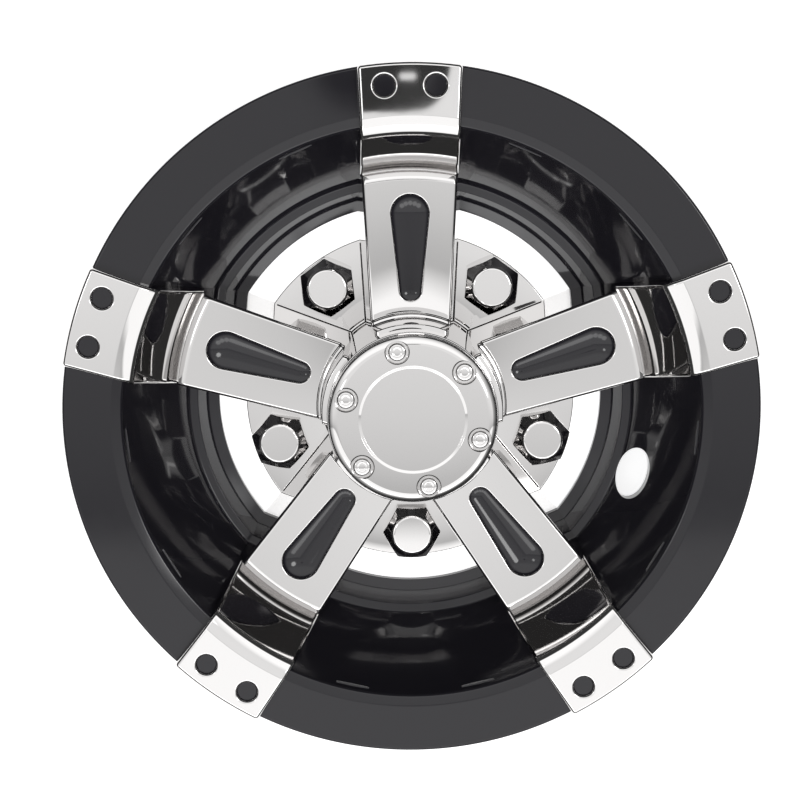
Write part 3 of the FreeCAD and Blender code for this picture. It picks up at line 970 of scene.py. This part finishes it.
end_points = end_outline()
end_rows = []
for part in range(EDGE_STEPS + 1):
    turn = math.pi / 2 * part / EDGE_STEPS
    inset = EDGE_ROUND * (1 - math.sin(turn))
    level = FOOT_HEIGHT - EDGE_ROUND * (1 - math.cos(turn))
    end_rows.append([((x - a * inset, y - b * inset, level),
                      rolled(np.array((0, 0, 1.0)), (a, b, 0), turn)) for x, y, a, b in end_points])
for part in range(1, WALL_STEPS + 1):
    level = FOOT_HEIGHT - EDGE_ROUND + (FOOT_LOW - FOOT_HEIGHT + EDGE_ROUND) * part / WALL_STEPS
    wide = (FOOT_HEIGHT - EDGE_ROUND - level) * DRAFT * 0.5
    end_rows.append([((x + a * wide * abs(b), y + b * wide, level), (a, b, 0))
                     for x, y, a, b in end_points])
end_index = [[spoke.add(point, lean) for point, lean in row] for row in end_rows]
spoke.grid(end_index)
right_end = right_rows[-1]
left_end = left_rows[-1]
for level in range(len(end_index) - 1):
    upper = end_index[level]
    lower = end_index[level + 1]
    spoke.face([right_end[level], upper[0], lower[0], right_end[level + 1]])
    spoke.face([left_end[level], left_end[level + 1], lower[-1], upper[-1]])

recess_turns = [2 * math.pi * part / RECESS_STEPS for part in range(RECESS_STEPS)]
recess_ways = [(math.cos(turn), math.sin(turn)) for turn in recess_turns]
recess_rows = {}
for sign in (-1, 1):
    rings = []
    for part in range(ROLL_STEPS + 1):
        turn = math.pi / 2 * part / ROLL_STEPS
        size = RECESS_RADIUS + RECESS_ROUND * (1 - math.sin(turn))
        drop = RECESS_ROUND * (1 - math.cos(turn)) * RECESS_SINK
        ring = []
        for x, y in recess_ways:
            point = (RECESS_RING + size * x, sign * RECESS_HALF + size * y, FOOT_HEIGHT - drop)
            ring.append(spoke.add(point, rolled(np.array((0, 0, 1.0)), (-x, -y, 0), turn)))
        rings.append(ring)
    spoke.grid(rings, closed_columns=True)
    pit = [rings[-1]]
    for size, drop in ((RECESS_RADIUS, RECESS_DEPTH - RECESS_BEVEL),
                       (RECESS_RADIUS - RECESS_BEVEL, RECESS_DEPTH)):
        pit.append([spoke.add((RECESS_RING + size * x, sign * RECESS_HALF + size * y, FOOT_HEIGHT - drop))
                    for x, y in recess_ways])
    spoke.grid(pit, closed_columns=True, paint=1)
    spoke.face(pit[-1], paint=1)
    recess_rows[sign] = rings[0]

plate = bmesh.new()
verts = {}
side_right = [spoke.add(*edge_rows(r, 1)[0]) for r in stations if r > FLAT_FROM]
side_left = [spoke.add(*edge_rows(r, -1)[0]) for r in stations if r > FLAT_FROM]
border = list(foot_edge) + side_right + end_index[0] + list(reversed(side_left))
loops = []
for loop in (border, recess_rows[-1], recess_rows[1]):
    corners = [plan_vertex(i) for i in loop]
    loops += [plate.edges.new((corners[n], corners[(n + 1) % len(corners)])) for n in range(len(corners))]
filled = bmesh.ops.triangle_fill(plate, use_beauty=True, use_dissolve=False, edges=loops)
index_of = {vertex: index for index, vertex in verts.items()}
for item in filled["geom"]:
    if isinstance(item, bmesh.types.BMFace):
        spoke.face([index_of[v] for v in item.verts])
plate.free()


def part_of(shape, paint, name):
    """The faces of one finish of a shape as a shape of its own."""
    own = Shape()
    own.points = list(shape.points)
    for corners, finish in zip(shape.faces, shape.paint):
        if finish == paint:
            own.face(corners)
    mesh = own.mesh(name, SEAM_MERGE)
    work = bmesh.new()
    work.from_mesh(mesh)
    bmesh.ops.delete(work, geom=[v for v in work.verts if not v.link_faces], context="VERTS")
    up = sum(face.normal.z * face.calc_area() for face in work.faces)
    if up < 0:
        bmesh.ops.reverse_faces(work, faces=work.faces)
    work.to_mesh(mesh)
    work.free()
    return place(name, mesh)


def thickened(thing, thickness):
    wall = thing.modifiers.new("wall", "SOLIDIFY")
    wall.thickness = thickness * MM
    wall.offset = -1
    wall.use_even_offset = False
    return baked(thing)


spokes = part_of(spoke, 0, "chrome_spokes")
slots = part_of(spoke, 1, "black_slots")
thickened(spokes, SKIN)
thickened(slots, SKIN)
copies_round_hub(spokes, SPOKES, FIRST_SPOKE, TURN, CHROME)
copies_round_hub(slots, SPOKES, FIRST_SPOKE, TURN, BLACK)
even_shading(slots, CREASE_TURNED)


def spoke_shading(thing):
    """Shade the front of the spokes by the ways out that were worked out with their points."""
    tree = KDTree(len(spoke.points))
    for number, point in enumerate(spoke.points):
        if spoke.leans[number] is not None:
            tree.insert(point, number)
    tree.balance()
    mesh = thing.data
    known = []
    for vertex in mesh.vertices:
        point = vertex.co / MM
        turn = FIRST_SPOKE + TURN * round((math.atan2(point.y, point.x) - FIRST_SPOKE) / TURN)
        _, number, gap = tree.find(Matrix.Rotation(-turn, 3, "Z") @ point)
        lean = None
        if gap < LEAN_REACH:
            lean = Matrix.Rotation(turn, 3, "Z") @ Vector([float(value) for value in spoke.leans[number]])
        known.append(lean)
    normals = [None] * len(mesh.loops)
    for face in mesh.polygons:
        face.use_smooth = True
        for loop in face.loop_indices:
            lean = known[mesh.loops[loop].vertex_index]
            if lean is not None and lean.dot(face.normal) > LEAN_FACING:
                normals[loop] = lean
            else:
                normals[loop] = face.normal.copy()
    mesh.normals_split_custom_set(normals)


spoke_shading(spokes)

# Clips behind the rim band: two for each window.

clip = Shape()
low = RIM_HEIGHT - CLIP_LENGTH
clip_side = [
    (CLIP_RADIUS - CLIP_LEG, RIM_HEIGHT - WALL),
    (CLIP_RADIUS - CLIP_LEG, low),
    (CLIP_RADIUS, low),
    (CLIP_RADIUS + CLIP_BARB, low + CLIP_BARB),
    (CLIP_RADIUS, low + 3 * CLIP_BARB),
    (CLIP_RADIUS, RIM_HEIGHT - WALL),
]
for sign in (-1, 1):
    turn = sign * CLIP_SPREAD
    ends = []
    for across in (-CLIP_HALF, CLIP_HALF):
        ends.append([clip.add((radius * math.cos(turn) - across * math.sin(turn),
                               radius * math.sin(turn) + across * math.cos(turn), height))
                     for radius, height in clip_side])
    clip.grid(ends, closed_columns=True)
    clip.face(ends[0])
    clip.face(ends[1])
clips = place("clips", clip.mesh("clips"))
soft = clips.modifiers.new("soft_edges", "BEVEL")
soft.width = CLIP_SOFT * MM
soft.segments = 2
copies_round_hub(clips, SPOKES, FIRST_WINDOW, TURN, BLACK)
even_shading(clips, CREASE_FLAT)

# Floor, light and camera

floor_mesh = bpy.data.meshes.new("floor")
reach = 6.0
floor_corners = [(-reach, -reach, 0), (reach, -reach, 0), (reach, reach, 0), (-reach, reach, 0)]
floor_mesh.from_pydata(floor_corners, [], [(0, 1, 2, 3)])
floor_material, nodes, link, shader = plain_material("pale_floor")
shader.inputs["Base Color"].default_value = (0.92, 0.92, 0.92, 1)
shader.inputs["Roughness"].default_value = 0.8
shader.inputs["Emission Color"].default_value = (1, 1, 1, 1)
shader.inputs["Emission Strength"].default_value = 0.75
floor = place("floor", floor_mesh, floor_material)

TILT = math.radians(10.56)
TILT_WAY = math.radians(6.02)
LEAN = math.radians(6.64)
DISTANCE = 0.6183
PICTURE = 800.0
FOCAL = 1802.5
SHIFT = (-13.0, 18.5)
SENSOR = 36.0
e1 = Vector((math.cos(TILT_WAY), math.sin(TILT_WAY), 0))
e2 = Vector((-math.sin(TILT_WAY), math.cos(TILT_WAY), 0))
axis = Vector((0, 0, 1))
back = math.sin(TILT) * e2 + math.cos(TILT) * axis
up_plain = math.cos(TILT) * e2 - math.sin(TILT) * axis
right = math.cos(LEAN) * e1 - math.sin(LEAN) * up_plain
up = math.sin(LEAN) * e1 + math.cos(LEAN) * up_plain
eye = Vector((0, 0, RIM_HEIGHT * MM)) + DISTANCE * back

lens = bpy.data.cameras.new("camera")
lens.sensor_width = SENSOR
lens.lens = FOCAL / PICTURE * SENSOR
lens.shift_x = SHIFT[0] / PICTURE
lens.shift_y = SHIFT[1] / PICTURE
lens.clip_start = 0.01
camera = bpy.data.objects.new("camera", lens)
bpy.context.scene.collection.objects.link(camera)
camera.matrix_world = Matrix((
    (right.x, up.x, back.x, eye.x),
    (right.y, up.y, back.y, eye.y),
    (right.z, up.z, back.z, eye.z),
    (0, 0, 0, 1),
))
bpy.context.scene.camera = camera
bpy.context.scene.view_settings.view_transform = "Standard"
bpy.context.scene.view_settings.look = "None"

# Light: a wide ceiling over a dark room, lamps in it, and dark and bright spots overhead
LOW_LIGHT = 0.05
TOP_LIGHT = 2.0
CEILING = [
    # lean in degrees along the Y axis, brightness
    (-90, 1.5), (-14.2, 1.42), (-13.8, 0.64), (-13.0, 0.7), (-11.8, 0.84), (-10.5, 0.93), (-8.6, 1.0),
    (-6, 1.08), (-2, 1.12), (7, 1.1), (14, 1.5), (90, 1.5),
]
LAMPS = [
    # angle round the hub, lean, inner and outer size in degrees, brightness
    (6, 23, 4, 7, 9.0),
    (178, 24, 2, 4, 7.0),
    *[(angle, 38, 4, 7, 4.0) for angle in (235, 252, 270, 288, 305)],
]
SPOTS = [
    # lean along X and along Y, inner and outer size in degrees, brightness
    *[(along, 0.75, 1.55, 1.65, 0.05) for along in (-0.3, 0.3, 0.8)],
    (1.3, 0.15, 0.9, 1.0, 0.05),
    *[(along, 0.25, 0.04, 0.16, 1.2) for along in (0.9, 1.05, 1.2)],
]


class Sky:
    """Soft light from all round: patches of brightness blended over one another by direction."""

    def __init__(self):
        world = bpy.data.worlds.new("studio")
        world.use_nodes = True
        bpy.context.scene.world = world
        self.nodes = world.node_tree.nodes
        self.link = world.node_tree.links.new
        self.where = self.nodes.new("ShaderNodeTexCoord").outputs["Generated"]
        self.shader = self.nodes["Background"]
        value = self.nodes.new("ShaderNodeValue")
        value.outputs[0].default_value = LOW_LIGHT
        self.level = value.outputs[0]

    def share_of(self, way, inner, outer):
        """How much of a round patch shows: all inside the inner angle, nothing past the outer one."""
        dot = self.nodes.new("ShaderNodeVectorMath")
        dot.operation = "DOT_PRODUCT"
        self.link(self.where, dot.inputs[0])
        dot.inputs[1].default_value = Vector(way).normalized()
        share = self.nodes.new("ShaderNodeMapRange")
        share.interpolation_type = "SMOOTHSTEP"
        share.inputs["From Min"].default_value = math.cos(math.radians(outer))
        share.inputs["From Max"].default_value = math.cos(math.radians(inner))
        self.link(dot.outputs["Value"], share.inputs["Value"])
        return share.outputs["Result"]

    def blend(self, share, level):
        mix = self.nodes.new("ShaderNodeMix")
        mix.data_type = "FLOAT"
        self.link(share, mix.inputs["Factor"])
        self.link(self.level, mix.inputs["A"])
        if isinstance(level, float):
            mix.inputs["B"].default_value = level
        else:
            self.link(level, mix.inputs["B"])
        self.level = mix.outputs["Result"]

    def ceiling(self, stops):
        """Brightness of the ceiling by its lean from straight up, along the Y axis."""
        parts = self.nodes.new("ShaderNodeSeparateXYZ")
        self.link(self.where, parts.inputs[0])
        spot = self.nodes.new("ShaderNodeMapRange")
        spot.inputs["From Min"].default_value = -1.0
        spot.inputs["From Max"].default_value = 1.0
        self.link(parts.outputs["Y"], spot.inputs["Value"])
        ramp = self.nodes.new("ShaderNodeValToRGB")
        self.link(spot.outputs["Result"], ramp.inputs["Fac"])
        marks = ramp.color_ramp.elements
        while len(marks) < len(stops):
            marks.new(0.5)
        for mark, (lean, level) in zip(marks, stops):
            mark.position = 0.5 + 0.5 * math.sin(math.radians(lean))
            mark.color = (level / TOP_LIGHT, level / TOP_LIGHT, level / TOP_LIGHT, 1)
        full = self.nodes.new("ShaderNodeMath")
        full.operation = "MULTIPLY"
        self.link(ramp.outputs["Color"], full.inputs[0])
        full.inputs[1].default_value = TOP_LIGHT
        return full.outputs[0]

    def finish(self):
        tint = self.nodes.new("ShaderNodeCombineColor")
        for name in ("Red", "Green", "Blue"):
            self.link(self.level, tint.inputs[name])
        self.link(tint.outputs[0], self.shader.inputs["Color"])


def towards(angle, lean):
    """A way leaning from straight up by some degrees towards an angle round the hub."""
    return (math.sin(math.radians(lean)) * math.cos(math.radians(angle)),
            math.sin(math.radians(lean)) * math.sin(math.radians(angle)), math.cos(math.radians(lean)))


def aside(x, y):
    """A way leaning from straight up by some degrees along X and Y."""
    return (math.tan(math.radians(x)), math.tan(math.radians(y)), 1.0)


sky = Sky()
ceiling = sky.ceiling(CEILING)
sky.blend(sky.share_of(towards(270, 8), 38, 46), ceiling)
for angle, lean, inner, outer, level in LAMPS:
    sky.blend(sky.share_of(towards(angle, lean), inner, outer), level)
for along, across, inner, outer, level in SPOTS:
    sky.blend(sky.share_of(aside(along, across), inner, outer), level)
sky.finish()

# Hand the pieces over

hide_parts("wheel_cover")
for thing, finish in ((dish, "black_paint"), (slots, "black_paint"), (clips, "black_paint"),
                      (spokes, "chrome_plate"), (hub_plate, "chrome_plate"), (cap, "chrome_plate"),
                      (bolts, "chrome_plate"), (nuts, "chrome_plate")):
    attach(thing, "root")
